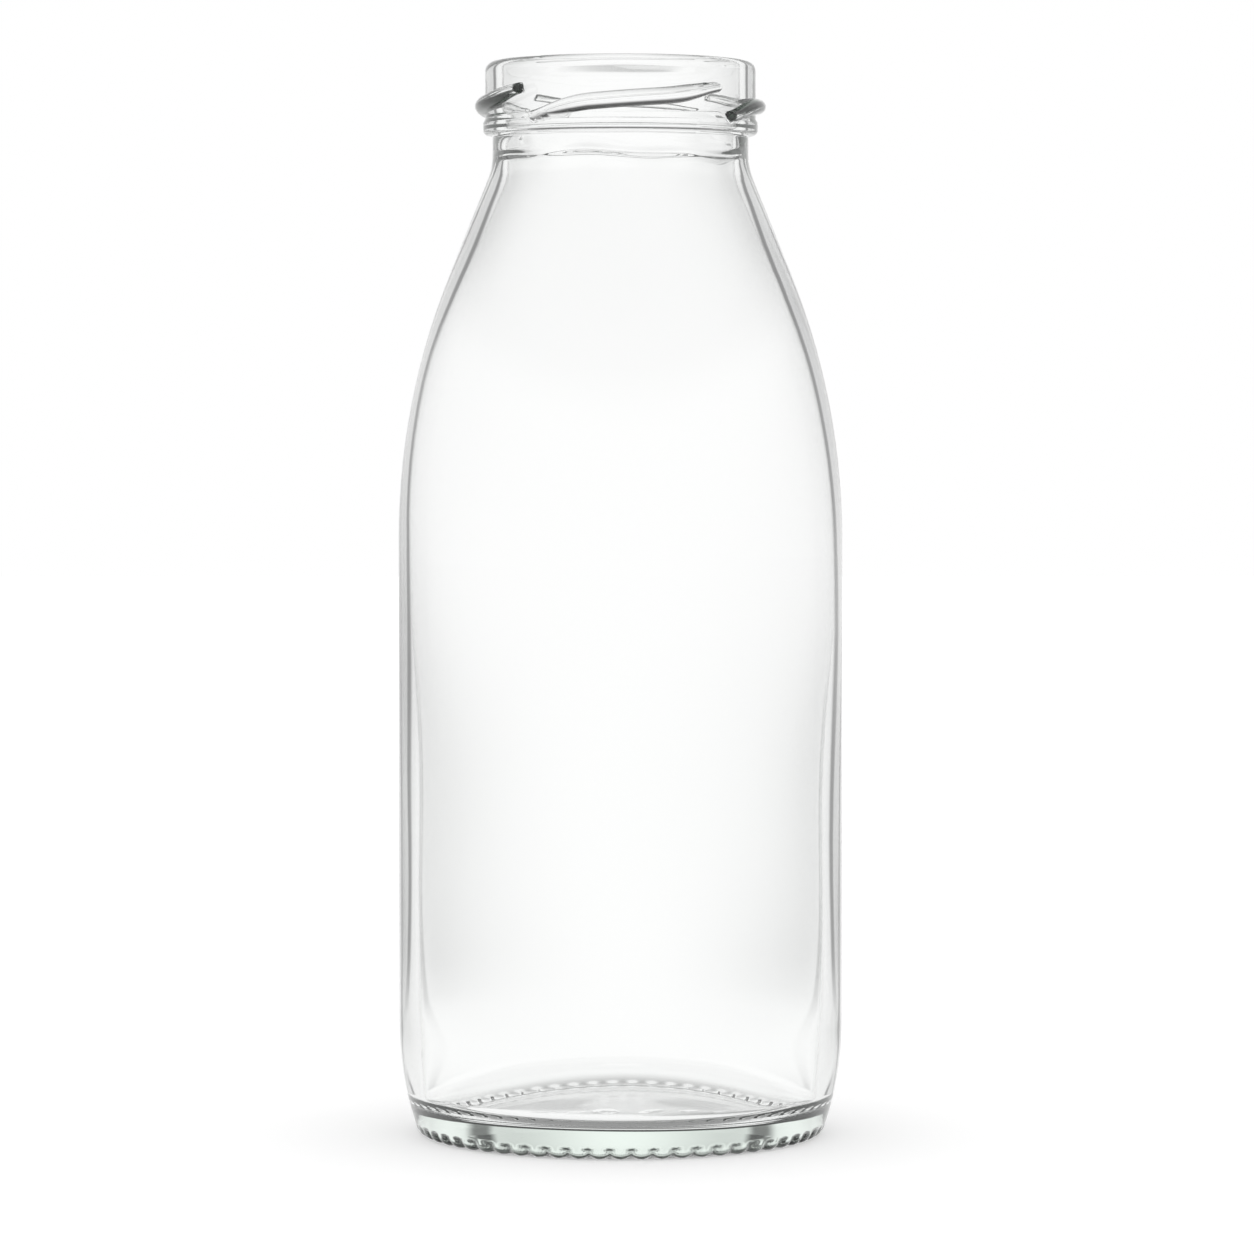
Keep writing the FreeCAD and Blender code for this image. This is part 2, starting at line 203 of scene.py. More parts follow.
class BottleFinish(bpy.types.PropertyGroup):
    """Transfer bead, lug wall and lip."""

    wall_radius: length("Finish radius", "Outside of the wall with the lugs", radius_of("finish_wall"))
    wall_foot: length("Finish foot", "Level of the transfer bead's top", top_of("transfer_bead"))
    lip_top: length("Lip top", "Level of the lip", top_of("finish_wall"))
    wall: length("Finish wall", "Thickness of the lug wall", 2.7 * MM)
    bead_radius: length("Bead radius", "Outside of the transfer bead", radius_of("transfer_bead"))
    bead_round: length("Bead rounding", "Rounding of the bead's lower edge", 0.8 * MM)
    lip_round_out: length("Outer lip rounding", "Rounding of the lip's outer edge", 1.5 * MM)
    lip_round_in: length("Inner lip rounding", "Rounding of the lip's inner edge", 1.0 * MM)
    lugs: count("Lugs", "Equal lugs round the finish", 4)
    lug_radius: length("Lug radius", "Outside of the lugs", radius_of("thread_lugs"))
    lug_span: angle("Lug span", "Angle that one lug covers", 85)
    lug_turn: angle("Lug turn", "Direction of the first lug's low end, from the front", -40)
    lug_half: length("Lug half height", "Half the height of a lug's section", 1.36 * MM)
    lug_power: number("Lug power", "How full a lug's section is: 0.5 is a half ellipse, 1 a parabola", 0.52)
    lug_taper: number("Lug taper", "Size of a lug's section at its ends, as a share of its middle", 0.65)
    lug_entry: angle("Lug entry", "Angle of the steep entry at the low end", 19)
    lug_run_end: angle("Lug run end", "Angle where the shallow run ends", 66)
    lug_low: length("Lug low end", "Drop from the lip to the low end's centre", 10.2 * MM)
    lug_flat: length("Lug run start", "Drop from the lip where the shallow run starts", 7.95 * MM)
    lug_run: length("Lug run end level", "Drop from the lip where the shallow run ends", 6.6 * MM)
    lug_high: length("Lug high end", "Drop from the lip to the high end's centre", 4.9 * MM)


class BottleGlass(bpy.types.PropertyGroup):
    """Look of the glass."""

    tint: colour("Tint", "Colour of the light that the surface lets in", (1.0, 1.0, 1.0, 1.0))
    depth_tint: colour("Depth tint", "Colour that thick glass turns to", (0.78, 0.92, 0.82, 1.0))
    depth_density: number("Depth density", "Absorption for each metre of glass", 9.0)
    ior: number("Refraction", "Index of refraction of soda-lime glass", 1.52)
    wave_height: length("Wave height", "Height of the faint waves in the surface", 0.02 * MM)
    wave_scale: number("Wave scale", "Waves for each metre round the bottle", 90.0)
    wave_stretch: number("Wave stretch", "How much longer the waves are up the bottle, as a share", 0.35)
    worn_height: length("Worn height", "How far up the bearing ring is scuffed matt", 0.25 * MM)
    worn_roughness: number("Worn roughness", "Roughness of the scuffed bearing ring", 0.35)
    scuff_scale: number("Scuff scale", "Scuff patches for each metre", 1500.0)


class BottleStage(bpy.types.PropertyGroup):
    """Camera, floor and world."""

    eye_height: length("Eye height", "Level of the camera", 119 * MM)
    aim_height: length("Aim height", "Level on the axis at the frame's centre", 84.4 * MM)
    aim_side: length("Aim side", "How far right of the axis the frame's centre is", 1.08 * MM)
    distance: length("Distance", "From the camera to the bottle's axis", 850 * MM)
    lens: number("Lens", "Focal length in millimetres on a 36 mm sensor", 146.8)
    bounces: count("Bounces", "Surfaces that light may meet inside the glass before it is given up", 24)
    floor_size: length("Floor size", "Side of the floor", 6.0)
    floor_tone: number("Floor tone", "Reflectance of the floor", 0.8)
    floor_lift: number("Floor lift", "Light added to the floor, so that it joins the white world", 0.33)
    ceiling_tone: number("Ceiling tone", "Brightness of the studio's ceiling as glass shows it", 0.12)
    falloff: number("Falloff", "How much darker it is between two soft lights, as glass shows it", 0.32)
    card_tone: number("Card tone", "Brightness of the narrow dark cards, as glass shows them", 0.06)
    # Painted light and shade: where the lights and cards painted on the floor start
    painted_cards_far: length("Card distance", "How far out on the floor the lights and cards start", 0.08)
    # Painted shade: how dark the floor is straight down as glass shows it, and how far out that is full
    steep_painted_shade_tone: number("Steep tone", "Brightness of the floor straight down, as glass shows it", 0.3)
    steep_painted_shade_far: length("Steep distance", "How far out on the floor it is dim straight down", 45 * MM)
    wall_share: number("Wall share", "How much of the lights and cards a wall's edge shows", 0.85)
    # Painted shade: how dark the studio is after several reflections in the glass
    painted_depth_shade_tone: number("Deep tone", "Brightness of the studio after several reflections in the glass", 0.15)


# ---------------------------------------------------------------- profiles

def arc(centre_r, centre_z, radius, start, end, steps):
    """Points of a circle from angle start to angle end, in radians, in the (radius, level) plane."""
    turn = np.linspace(start, end, steps)
    return np.stack([centre_r + radius * np.cos(turn), centre_z + radius * np.sin(turn)], axis=1)


def line(start, end, steps):
    """Evenly spaced points from start to end, both ends included."""
    share = np.linspace(0.0, 1.0, steps)[:, None]
    return np.asarray(start) * (1 - share) + np.asarray(end) * share


def joined(*stretches):
    """One profile from several stretches; a point that repeats the one before it is left out."""
    points = np.concatenate(stretches)
    step = np.hypot(*np.diff(points, axis=0).T)
    return points[np.concatenate([[True], step > 1e-7])]


def smooth_step(value, low, high):
    """0 below low, 1 above high, and the cubic 3t^2 - 2t^3 between."""
    share = np.clip((value - low) / (high - low), 0.0, 1.0)
    return share * share * (3 - 2 * share)


def heel_foot(body):
    """Bearing ring's outer radius, and the heel's lean from upright where the ring's rounding meets it."""
    centre = body.body_radius - body.heel_arc
    reach = body.heel_arc - body.heel_round
    drop = body.heel_top - body.heel_round
    outer = centre + math.sqrt(reach * reach - drop * drop)
    lean = math.asin(drop / reach)
    return outer, lean


def push_up_profile(body, base):
    """Underside of the bottle: a shallow dome from the centre to the step inside the bearing ring.

    Its rows are evenly spaced, finer where the mould marks are than at the edge.
    """
    outer, _ = heel_foot(body)
    edge = outer - base.bearing_width - base.push_up_rim
    radii = np.concatenate([np.linspace(0.0, 0.76, 30)[1:], np.linspace(0.79, 1.0, 6)]) * edge
    rise = base.push_up - base.push_up_rim
    return np.stack([radii, base.push_up_rim + rise * (1 - (radii / edge) ** 2)], axis=1)


def bearing_profile(body, base):
    """Step, flat bearing ring and the rounding that turns up into the heel."""
    outer, lean = heel_foot(body)
    inner = outer - base.bearing_width
    rim = base.push_up_rim
    step = arc(inner, rim, rim, math.pi, 1.5 * math.pi, 7)
    flat = line((inner, 0.0), (outer, 0.0), 7)
    flat[:, 1] += CROWN * (2 * np.linspace(0.0, 1.0, len(flat)) - 1) ** 2
    turn_up = arc(outer, body.heel_round, body.heel_round, -0.5 * math.pi, -lean, 9)
    foot = arc(body.body_radius - body.heel_arc, body.heel_top, body.heel_arc, -lean, -foot_lean(body), 6)
    return joined(step, flat, turn_up, foot)


def foot_lean(body):
    """Lean of the heel from upright where the knurled foot ends."""
    return math.asin((body.heel_top - body.foot_top) / body.heel_arc)


def outer_profile(body, finish):
    """Heel, straight side, shoulder and neck, up to the transfer bead's lower edge."""
    slope = body.shoulder_slope
    neck_radius = finish.wall_radius - body.neck_inset
    heel = arc(body.body_radius - body.heel_arc, body.heel_top, body.heel_arc, -foot_lean(body), 0.0, 9)[1:]
    side = line((body.body_radius, body.heel_top), (body.body_radius, body.side_top), 6)
    curve = arc(body.body_radius - body.shoulder_arc, body.side_top, body.shoulder_arc, 0.0, slope, 15)
    neck_curve_top = body.cone_top + body.neck_arc * math.sin(slope)
    cove = arc(neck_radius + body.neck_arc, neck_curve_top, body.neck_arc, math.pi + slope, math.pi, 8)
    cone = line(curve[-1], cove[0], 5)
    neck = line((neck_radius, neck_curve_top), (neck_radius, body.neck_top), 5)
    return joined(heel, side, curve, cone, cove, neck)


def bead_profile(body, finish):
    """Transfer bead, from the neck out and up to the wall that carries the lugs."""
    neck_radius = finish.wall_radius - body.neck_inset
    round_off = finish.bead_round
    foot = arc(finish.bead_radius - round_off, body.neck_top + round_off, round_off, -0.5 * math.pi, 0.0, 6)
    under = line((neck_radius, body.neck_top), foot[0], 3)[1:]
    return joined(under, foot)


def lip_profile(finish):
    """Lip, rounded outside and inside, down to the bore."""
    out = finish.lip_round_out
    into = finish.lip_round_in
    bore = finish.wall_radius - finish.wall
    lip_out = arc(finish.wall_radius - out, finish.lip_top - out, out, 0.0, 0.5 * math.pi, 7)
    lip_in = arc(bore + into, finish.lip_top - into, into, 0.5 * math.pi, math.pi, 7)
    return joined(lip_out, lip_in)


def wall_thickness(body, level):
    """Thick below, thin under the shoulder, thicker again towards the neck."""
    thin = body.wall_low + (body.wall_high - body.wall_low) * smooth_step(
        level, body.thinning_low, body.thinning_high)
    return thin + (body.wall_neck - body.wall_high) * smooth_step(level, body.thickening, body.cone_top)


def inner_profile(body, base, finish, outside):
    """Bore, neck, shoulder and side from the mouth down to the floor's rounding."""
    bore = finish.wall_radius - finish.wall
    start = base.floor_edge + base.corner_height
    ring = body.neck_ring
    cone = body.cone_top - CONE_LEAD
    levels = np.concatenate([
        np.linspace(finish.wall_foot + BORE_EASE - 0.1 * MM, ring + RING_REACH, 10),
        np.linspace(ring + RING_REACH, ring - RING_REACH, 15)[1:],
        np.linspace(ring - RING_REACH, cone, 7)[1:],
        np.linspace(cone, body.side_top, 14)[1:],
        np.linspace(body.side_top, start, 14)[1:],
    ])
    radii = np.interp(levels, outside[:, 1], outside[:, 0])
    lean = np.gradient(radii, levels)
    thick = wall_thickness(body, levels) * np.sqrt(1 + lean * lean)
    narrow = radii - thick
    narrow += (bore - narrow) * smooth_step(levels, body.neck_top - BORE_FADE, finish.wall_foot + BORE_EASE)
    wall = np.stack([narrow, levels], axis=1)
    mouth_top = finish.lip_top - finish.lip_round_in
    drop = (mouth_top - finish.wall_foot - BORE_EASE) * np.linspace(0.0, 1.0, 6) ** 2
    mouth = np.stack([bore + 0 * drop, mouth_top - drop], axis=1)
    return joined(mouth, wall)


def floor_profile(base, wall_radius):
    """Most of a quarter ellipse from the wall down to the floor's edge, then the floor's shallow parabola.

    The ellipse stops short of level, so that the floor starts to rise from a soft crease.
    """
    turn = np.linspace(0.0, CREASE, 12)[1:]
    edge = wall_radius - base.corner_width * (1 - math.cos(CREASE))
    across = edge + base.corner_width * (np.cos(turn) - math.cos(CREASE))
    up = base.floor_edge + base.corner_height * (np.sin(turn) - math.sin(CREASE)) / -math.sin(CREASE)
    radii = edge * np.concatenate([[0.985], np.linspace(0.95, 0.0, 13)[:-1]])
    dome = base.floor_edge + (base.floor_centre - base.floor_edge) * (1 - (radii / edge) ** 2)
    return np.concatenate([np.stack([across, up], axis=1), np.stack([radii, dome], axis=1)])


# ---------------------------------------------------------------- relief

def profile_normals(profile):
    """Unit normals of a profile that runs up the outside and down the inside, pointing out of the glass."""
    run = np.gradient(profile, axis=0)
    run /= np.maximum(np.hypot(run[:, 0], run[:, 1]), 1e-12)[:, None]
    return np.stack([run[:, 1], -run[:, 0]], axis=1)


def swept(profile, columns, relief):
    """A profile carried round the axis, each point moved along its normal by relief(radius, level, turn)."""
    turn = np.arange(columns) * (2 * math.pi / columns)
    radius = profile[:, :1]
    level = profile[:, 1:]
    normal = profile_normals(profile)
    rise = relief(radius, level, turn[None, :])
    far = radius + normal[:, :1] * rise
    up = level + normal[:, 1:] * rise
    return np.stack([far * np.cos(turn), far * np.sin(turn), up + 0 * turn], axis=2)


def lug_line(finish, along):
    """A lug's centre line at an angle from its low end: level, climb and half width of its section.

    The level joins four knots, averaged over LUG_EASE degrees; the section is slimmer towards both ends.
    """
    knots = (0.0, finish.lug_entry, finish.lug_run_end, finish.lug_span)
    drops = (finish.lug_low, finish.lug_flat, finish.lug_run, finish.lug_high)
    shifts = np.radians(np.linspace(-0.5, 0.5, 5) * LUG_EASE)
    eased = [np.interp(along + shift, knots, drops) for shift in shifts]
    climb = (eased[0] - eased[-1]) / (math.radians(LUG_EASE) * finish.wall_radius)
    from_low, from_high = np.radians(LUG_GROWTH)
    rise = smooth_step(along, 0.0, from_low) * smooth_step(finish.lug_span - along, 0.0, from_high)
    half = finish.lug_half * (finish.lug_taper + (1 - finish.lug_taper) * rise)
    return finish.lip_top - sum(eased) / len(eased), climb, half


def lug_reach(finish, level, along):
    """How far a lug stands off its wall: reach * (1 - v^2)^power, v being the distance from its centre line
    as a share of half its width."""
    inset = finish.lug_half * finish.lug_taper / finish.wall_radius
    held = np.clip(along, inset, finish.lug_span - inset)
    centre, climb, half = lug_line(finish, held)
    up = (level - centre) / np.sqrt(1 + climb * climb)
    away = np.hypot(up, (along - held) * finish.wall_radius)
    reach = finish.lug_radius - finish.wall_radius
    return reach * (1 - np.clip(away / half, 0.0, 1.0) ** 2) ** finish.lug_power


def lug_wall_surface(body, finish):
    """Rings of the bead's upper part and of the wall with its lugs.

    The wall's rings follow the lugs' centre line, at its level plus LUG_MARGIN * half width * sine of even
    steps, so that they crowd at the lugs' edges; between two lugs they run straight from the end of one line
    to the start of the next.
    """
    pitch = 2 * math.pi / finish.lugs
    turn = np.arange(FINE_COLUMNS)[None, :] * (2 * math.pi / FINE_COLUMNS)
    along = np.mod(turn + 0.5 * math.pi - finish.lug_turn, pitch)
    centre, climb, half = lug_line(finish, np.minimum(along, finish.lug_span))
    start, end = lug_line(finish, np.array([0.0, finish.lug_span]))[0]
    gap = np.clip((along - finish.lug_span) / (pitch - finish.lug_span), 0.0, 1.0)
    centre = centre + gap * (start - end)
    tall = half * np.sqrt(1 + climb * climb)
    sweep = np.sin(np.linspace(-0.5 * math.pi, 0.5 * math.pi, LUG_ROWS))[:, None]
    across = centre + LUG_MARGIN * tall * sweep
    low = finish.wall_foot + BEAD_GAP
    high = finish.lip_top - finish.lug_high + finish.lug_half + 2 * BEAD_GAP
    below = low + (across[:1] - low) * np.linspace(0.0, 1.0, 6)[:-1, None]
    above = across[-1:] + (high - across[-1:]) * np.linspace(0.0, 1.0, 8)[1:, None]
    wall = np.concatenate([below, across, above])
    wall = np.maximum(wall, low + ROW_STEP * np.arange(len(wall))[:, None])
    bead = np.linspace(body.neck_top + finish.bead_round, finish.wall_foot - BEAD_GAP, 6)[1:, None] + 0 * turn
    level = np.concatenate([bead, wall])
    plain = np.where(level < finish.wall_foot, finish.bead_radius, finish.wall_radius)
    lug = np.maximum(lug_reach(finish, level, along), lug_reach(finish, level, along - pitch))
    radius = np.maximum(plain, finish.wall_radius + lug)
    return np.stack([radius * np.cos(turn), radius * np.sin(turn), level], axis=2)


def no_relief(radius, level, turn):
    """Nothing added to the profile, at every point."""
    return 0.0 * (radius + level + turn)


def knurl_relief(body, base, radius, level, turn):
    """Knurls: rounded ridges |cos| with sharp grooves between, fading out up the heel and on the ring."""
    outer, _ = heel_foot(body)
    ridge = 1 - np.abs(np.cos(0.5 * base.knurls * turn))
    on_heel = smooth_step(radius, outer + KNURL_START[0], outer + KNURL_START[1])
    return -base.knurl_depth * ridge * on_heel * (1 - smooth_step(level, *KNURL_FADE))


def mark_relief(base, radius, turn):
    """Mould marks under the base: a ring, a dot and plain strokes, each a soft ridge round its line."""
    x = radius * np.cos(turn)
    y = radius * np.sin(turn)
    ring_place, ring_radius = MARK_RING
    ring = np.abs(np.hypot(x - ring_place, MARK_STRETCH * y) - ring_radius)
    dot = np.hypot(x - MARK_DOT, MARK_STRETCH * y)
    near = np.minimum.reduce([ring, dot] + [stroke_distance(x, y, place, lean) for place, lean in STROKES])
    return base.mark_height * np.exp(-(near / (0.5 * base.mark_width)) ** 2)


def stroke_distance(x, y, place, lean):
    """Distance from a straight stroke centred on the cross line, leaning from it by an angle in radians."""
    along_x = math.sin(lean)
    along_y = math.cos(lean)
    run = np.clip((x - place) * along_x + y * along_y, -STROKE_HALF, STROKE_HALF)
    return np.hypot(x - place - run * along_x, y - run * along_y)


def ripple_relief(body, radius, level, turn):
    """Unevenness of the blown inside: a sum of long sine waves round and up the wall, none at the floor's
    centre; and in the neck a wavy ring exp(-(distance / half width)^2) over a product of two finer waves."""
    rise = level / WAVE_RISE
    waves = sum(height * np.sin(times * turn + climb * rise + start) for height, times, start, climb in WAVES)
    calm = smooth_step(radius, *WAVE_CALM)
    ring_level = sum((height * np.sin(times * turn + start) for height, times, start in RING_SWAY),
                     start=body.neck_ring)
    swell = sum((height * np.sin(times * turn + start) for height, times, start in RING_SWELL), start=1.0)
    ring = np.exp(-((level - ring_level) / RING_HALF) ** 2) * swell
    pulled = 1.0
    for times, height, start in NECK_WAVES:
        pulled = pulled * np.sin(times * turn + level / height + start)
    starting = smooth_step(level, body.cone_top + NECK_WAVE_START[0], body.cone_top + NECK_WAVE_START[1])
    ending = smooth_step(level, body.neck_top + NECK_WAVE_END[0], body.neck_top + NECK_WAVE_END[1])
    rough = starting * (1 - ending)
    return body.ripple * waves * calm + body.neck_ripple * (NECK_WAVE_SHARE * pulled * rough + ring)


def seam_relief(body, level, turn):
    """Two upright mould seams, left and right: a narrow ridge exp(-(distance / half width)^2) whose top is
    the plain profile, because the wall beside it is set back."""
    away = np.abs(np.sin(turn)) * body.body_radius
    ridge = np.exp(-(away / SEAM_HALF) ** 2) - 1
    return body.seam * ridge * smooth_step(level, *SEAM_FADE)


# ---------------------------------------------------------------- mesh

def band_faces(low, low_start, high, high_start):
    """Faces between two rings of points; one ring may have twice as many points as the other."""
    step = np.arange(min(low, high))
    after = (step + 1) % len(step)
    if low == high:
        quad = (low_start + step, low_start + after, high_start + after, high_start + step)
        return [np.stack(quad, axis=1)]
    if high > low:
        mid = high_start + 2 * step + 1
        return [
            np.stack([low_start + step, low_start + after, mid], axis=1),
            np.stack([low_start + step, mid, high_start + 2 * step], axis=1),
            np.stack([low_start + after, high_start + 2 * after, mid], axis=1),
        ]
    mid = low_start + 2 * step + 1
    return [
        np.stack([low_start + 2 * step, mid, high_start + step], axis=1),
        np.stack([mid, high_start + after, high_start + step], axis=1),
        np.stack([mid, low_start + 2 * after, high_start + after], axis=1),
    ]


def closed_surface(name, blocks, first, last):
    """A mesh of stacked rings, closed at both ends by a single point."""
    rings = [ring for block in blocks for ring in block]
    sizes = np.array([len(ring) for ring in rings])
    starts = 1 + np.concatenate([[0], np.cumsum(sizes)[:-1]])
    points = np.concatenate([[first], *rings, [last]])
    faces = []
    for index in range(len(rings) - 1):
        faces += band_faces(sizes[index], starts[index], sizes[index + 1], starts[index + 1])
    step = np.arange(sizes[0])
    faces.append(np.stack([0 * step, starts[0] + (step + 1) % sizes[0], starts[0] + step], axis=1))
    step = np.arange(sizes[-1])
    end = 0 * step + len(points) - 1
    faces.append(np.stack([starts[-1] + step, starts[-1] + (step + 1) % sizes[-1], end], axis=1))
    return filled_mesh(name, points, faces)


def filled_mesh(name, points, faces):
    """Puts points and arrays of triangles and quads into a new mesh, smooth all over."""
    corners = np.concatenate([group.ravel() for group in faces])
    totals = np.concatenate([np.full(len(group), group.shape[1]) for group in faces])
    mesh = bpy.data.meshes.new(name)
    mesh.vertices.add(len(points))
    mesh.vertices.foreach_set("co", points.astype(np.float32).ravel())
    mesh.loops.add(len(corners))
    mesh.loops.foreach_set("vertex_index", corners.astype(np.int32))
    mesh.polygons.add(len(totals))
    mesh.polygons.foreach_set("loop_start", (np.cumsum(totals) - totals).astype(np.int32))
    mesh.polygons.foreach_set("loop_total", totals.astype(np.int32))
    mesh.polygons.foreach_set("use_smooth", np.ones(len(totals), bool))
    mesh.update(calc_edges=True)
    mesh.validate()
    return mesh


def bottle_mesh(body, base, finish):
    """The whole bottle: underside, bearing ring, outside, finish, inside and floor, as one closed surface."""
    outside = outer_profile(body, finish)
    fine = bearing_profile(body, base)
    wall = inner_profile(body, base, finish, outside)
    inside = joined(wall, floor_profile(base, wall[-1, 0]))
    blocks = [
        swept(push_up_profile(body, base), COLUMNS, lambda r, z, t: mark_relief(base, r, t)),
        swept(fine[1:], FINE_COLUMNS, lambda r, z, t: knurl_relief(body, base, r, z, t)),
        swept(outside, COLUMNS, lambda r, z, t: seam_relief(body, z, t)),
        swept(bead_profile(body, finish), FINE_COLUMNS, no_relief),
        lug_wall_surface(body, finish),
        swept(lip_profile(finish), FINE_COLUMNS, no_relief),
        swept(inside[1:], COLUMNS, lambda r, z, t: ripple_relief(body, r, z, t)),
    ]
    return closed_surface("glass_bottle", blocks, (0, 0, base.push_up), (0, 0, base.floor_centre))


# ---------------------------------------------------------------- materials

def new_material(name):
    """An empty node material and its tree."""
    material = bpy.data.materials.new(name)
    material.use_nodes = True
    material.node_tree.nodes.clear()
    return material, material.node_tree


def glass_material(look):
    """Clear soda-lime glass: smooth, faintly uneven, worn matt where it stands, green where it is thick."""
    material, tree = new_material("clear_glass")
    out = tree.nodes.new("ShaderNodeOutputMaterial")
    shader = tree.nodes.new("ShaderNodeBsdfPrincipled")
    shader.inputs["Base Color"].default_value = look.tint
    shader.inputs["IOR"].default_value = look.ior
    shader.inputs["Transmission Weight"].default_value = 1.0
    place = tree.nodes.new("ShaderNodeTexCoord").outputs["Object"]
    height = tree.nodes.new("ShaderNodeSeparateXYZ")
    tree.links.new(place, height.inputs["Vector"])
    scuffs = noise(tree, place, (1.0, 1.0, 1.0), look.scuff_scale, 4.0)
    worn = mapped(tree, height.outputs["Z"], 0.0, look.worn_height, look.worn_roughness, 0.0)
    patches = mapped(tree, scuffs, *SCUFF_EDGES, SCUFF_LEAST, 1.0)
    tree.links.new(math_node(tree, "MULTIPLY", worn, patches), shader.inputs["Roughness"])
    waves = noise(tree, place, (1.0, 1.0, look.wave_stretch), look.wave_scale, 1.0)
    bump = tree.nodes.new("ShaderNodeBump")
    bump.inputs["Strength"].default_value = 1.0
    bump.inputs["Distance"].default_value = look.wave_height
    tree.links.new(waves, bump.inputs["Height"])
    tree.links.new(bump.outputs["Normal"], shader.inputs["Normal"])
    absorb = tree.nodes.new("ShaderNodeVolumeAbsorption")
    absorb.inputs["Color"].default_value = look.depth_tint
    absorb.inputs["Density"].default_value = look.depth_density
    tree.links.new(shader.outputs["BSDF"], out.inputs["Surface"])
    tree.links.new(absorb.outputs["Volume"], out.inputs["Volume"])
    return material


def noise(tree, place, stretch, scale, detail):
    """Noise on Object coordinates, stretched along each axis."""
    turned = tree.nodes.new("ShaderNodeMapping")
    turned.inputs["Scale"].default_value = stretch
    tree.links.new(place, turned.inputs["Vector"])
    node = tree.nodes.new("ShaderNodeTexNoise")
    node.inputs["Scale"].default_value = scale
    node.inputs["Detail"].default_value = detail
    tree.links.new(turned.outputs["Vector"], node.inputs["Vector"])
    return node.outputs["Fac"]


def math_node(tree, operation, *values):
    """A Math node whose inputs are sockets or numbers; gives back its output."""
    node = tree.nodes.new("ShaderNodeMath")
    node.operation = operation
    for socket, value in zip(node.inputs, values):
        if isinstance(value, (int, float)):
            socket.default_value = value
        else:
            tree.links.new(value, socket)
    return node.outputs[0]


def mapped(tree, value, low, high, at_low, at_high):
    """A value from low to high, eased into the range at_low to at_high."""
    node = tree.nodes.new("ShaderNodeMapRange")
    node.interpolation_type = "SMOOTHSTEP"
    for name, setting in (("From Min", low), ("From Max", high), ("To Min", at_low), ("To Max", at_high)):
        node.inputs[name].default_value = setting
    tree.links.new(value, node.inputs["Value"])
    return node.outputs["Result"]


def room_group(stage):
    """Brightness of the studio in a direction: soft lights, narrow dark cards and a dark ceiling; and how
    far the direction counts as behind the bottle."""
    group = bpy.data.node_groups.new("studio_room", "ShaderNodeTree")
    group.interface.new_socket("Direction", in_out="INPUT", socket_type="NodeSocketVector")
    for name in ("Lights", "Cards", "Ceiling", "Behind"):
        group.interface.new_socket(name, in_out="OUTPUT", socket_type="NodeSocketFloat")
    enter = group.nodes.new("NodeGroupInput")
    leave = group.nodes.new("NodeGroupOutput")
    unit = group.nodes.new("ShaderNodeVectorMath")
    unit.operation = "NORMALIZE"
    group.links.new(enter.outputs["Direction"], unit.inputs[0])
    split = group.nodes.new("ShaderNodeSeparateXYZ")
    group.links.new(unit.outputs["Vector"], split.inputs["Vector"])
    turn = math_node(group, "ARCTAN2", split.outputs["Y"], split.outputs["X"])
    full = math_node(group, "COSINE", math_node(group, "MULTIPLY", turn, 1.0 * LIGHTS))
    half = math_node(group, "COSINE", math_node(group, "MULTIPLY", turn, 0.5 * LIGHTS))
    lights = math_node(group, "MULTIPLY_ADD", full, 0.5 * stage.falloff, 1.0 - 0.5 * stage.falloff)
    one_edge = mapped(group, half, *CARD_DARKENS, 1.0, stage.card_tone)
    other_edge = mapped(group, half, *CARD_LIGHTENS, stage.card_tone, 1.0)
    cards = math_node(group, "MAXIMUM", one_edge, other_edge)
    ceiling = mapped(group, split.outputs["Z"], *CEILING_EDGES, 1.0, stage.ceiling_tone)
    behind = mapped(group, split.outputs["Y"], *BEHIND_EDGES, 0.0, stage.wall_share)
    for name, value in (("Lights", lights), ("Cards", cards), ("Ceiling", ceiling), ("Behind", behind)):
        group.links.new(value, leave.inputs[name])
    return group


def room_node(tree, group, direction):
    """The studio's values in a direction, as the outputs of one group node."""
    node = tree.nodes.new("ShaderNodeGroup")
    node.node_tree = group
    tree.links.new(direction, node.inputs["Direction"])
    return node.outputs


def mixed(tree, share, at_zero, at_one):
    """at_zero where share is 0, at_one where it is 1."""
    node = tree.nodes.new("ShaderNodeMix")
    node.data_type = "FLOAT"
    for name, value in (("Factor", share), ("A", at_zero), ("B", at_one)):
        socket = next(item for item in node.inputs if item.name == name and item.enabled)
        if isinstance(value, (int, float)):
            socket.default_value = value
        else:
            tree.links.new(value, socket)
    return next(item for item in node.outputs if item.enabled)


def seen_sides(tree, path, stage, lights, cards, behind):
    """The studio to the sides as a refracted ray sees it: the lights and cards for a ray that went straight
    through, much of them for one led along a wall to what is behind, and painted shade that dims it after
    more reflections."""
    straight = math_node(tree, "LESS_THAN", path.outputs["Glossy Depth"], 0.5)
    along_wall = math_node(tree, "LESS_THAN", path.outputs["Transmission Depth"], 2.5)
    direct = math_node(tree, "MAXIMUM", straight, math_node(tree, "MULTIPLY", along_wall, behind))
    sides = mixed(tree, direct, 1.0, math_node(tree, "MULTIPLY", lights, cards))
    # Painted shade: the studio is darkened after several reflections in the glass
    painted_depth_shade = mapped(tree, path.outputs["Glossy Depth"], *PAINTED_DEPTH_SHADE_EDGES, 1.0, stage.painted_depth_shade_tone)
    return math_node(tree, "MULTIPLY", sides, painted_depth_shade)


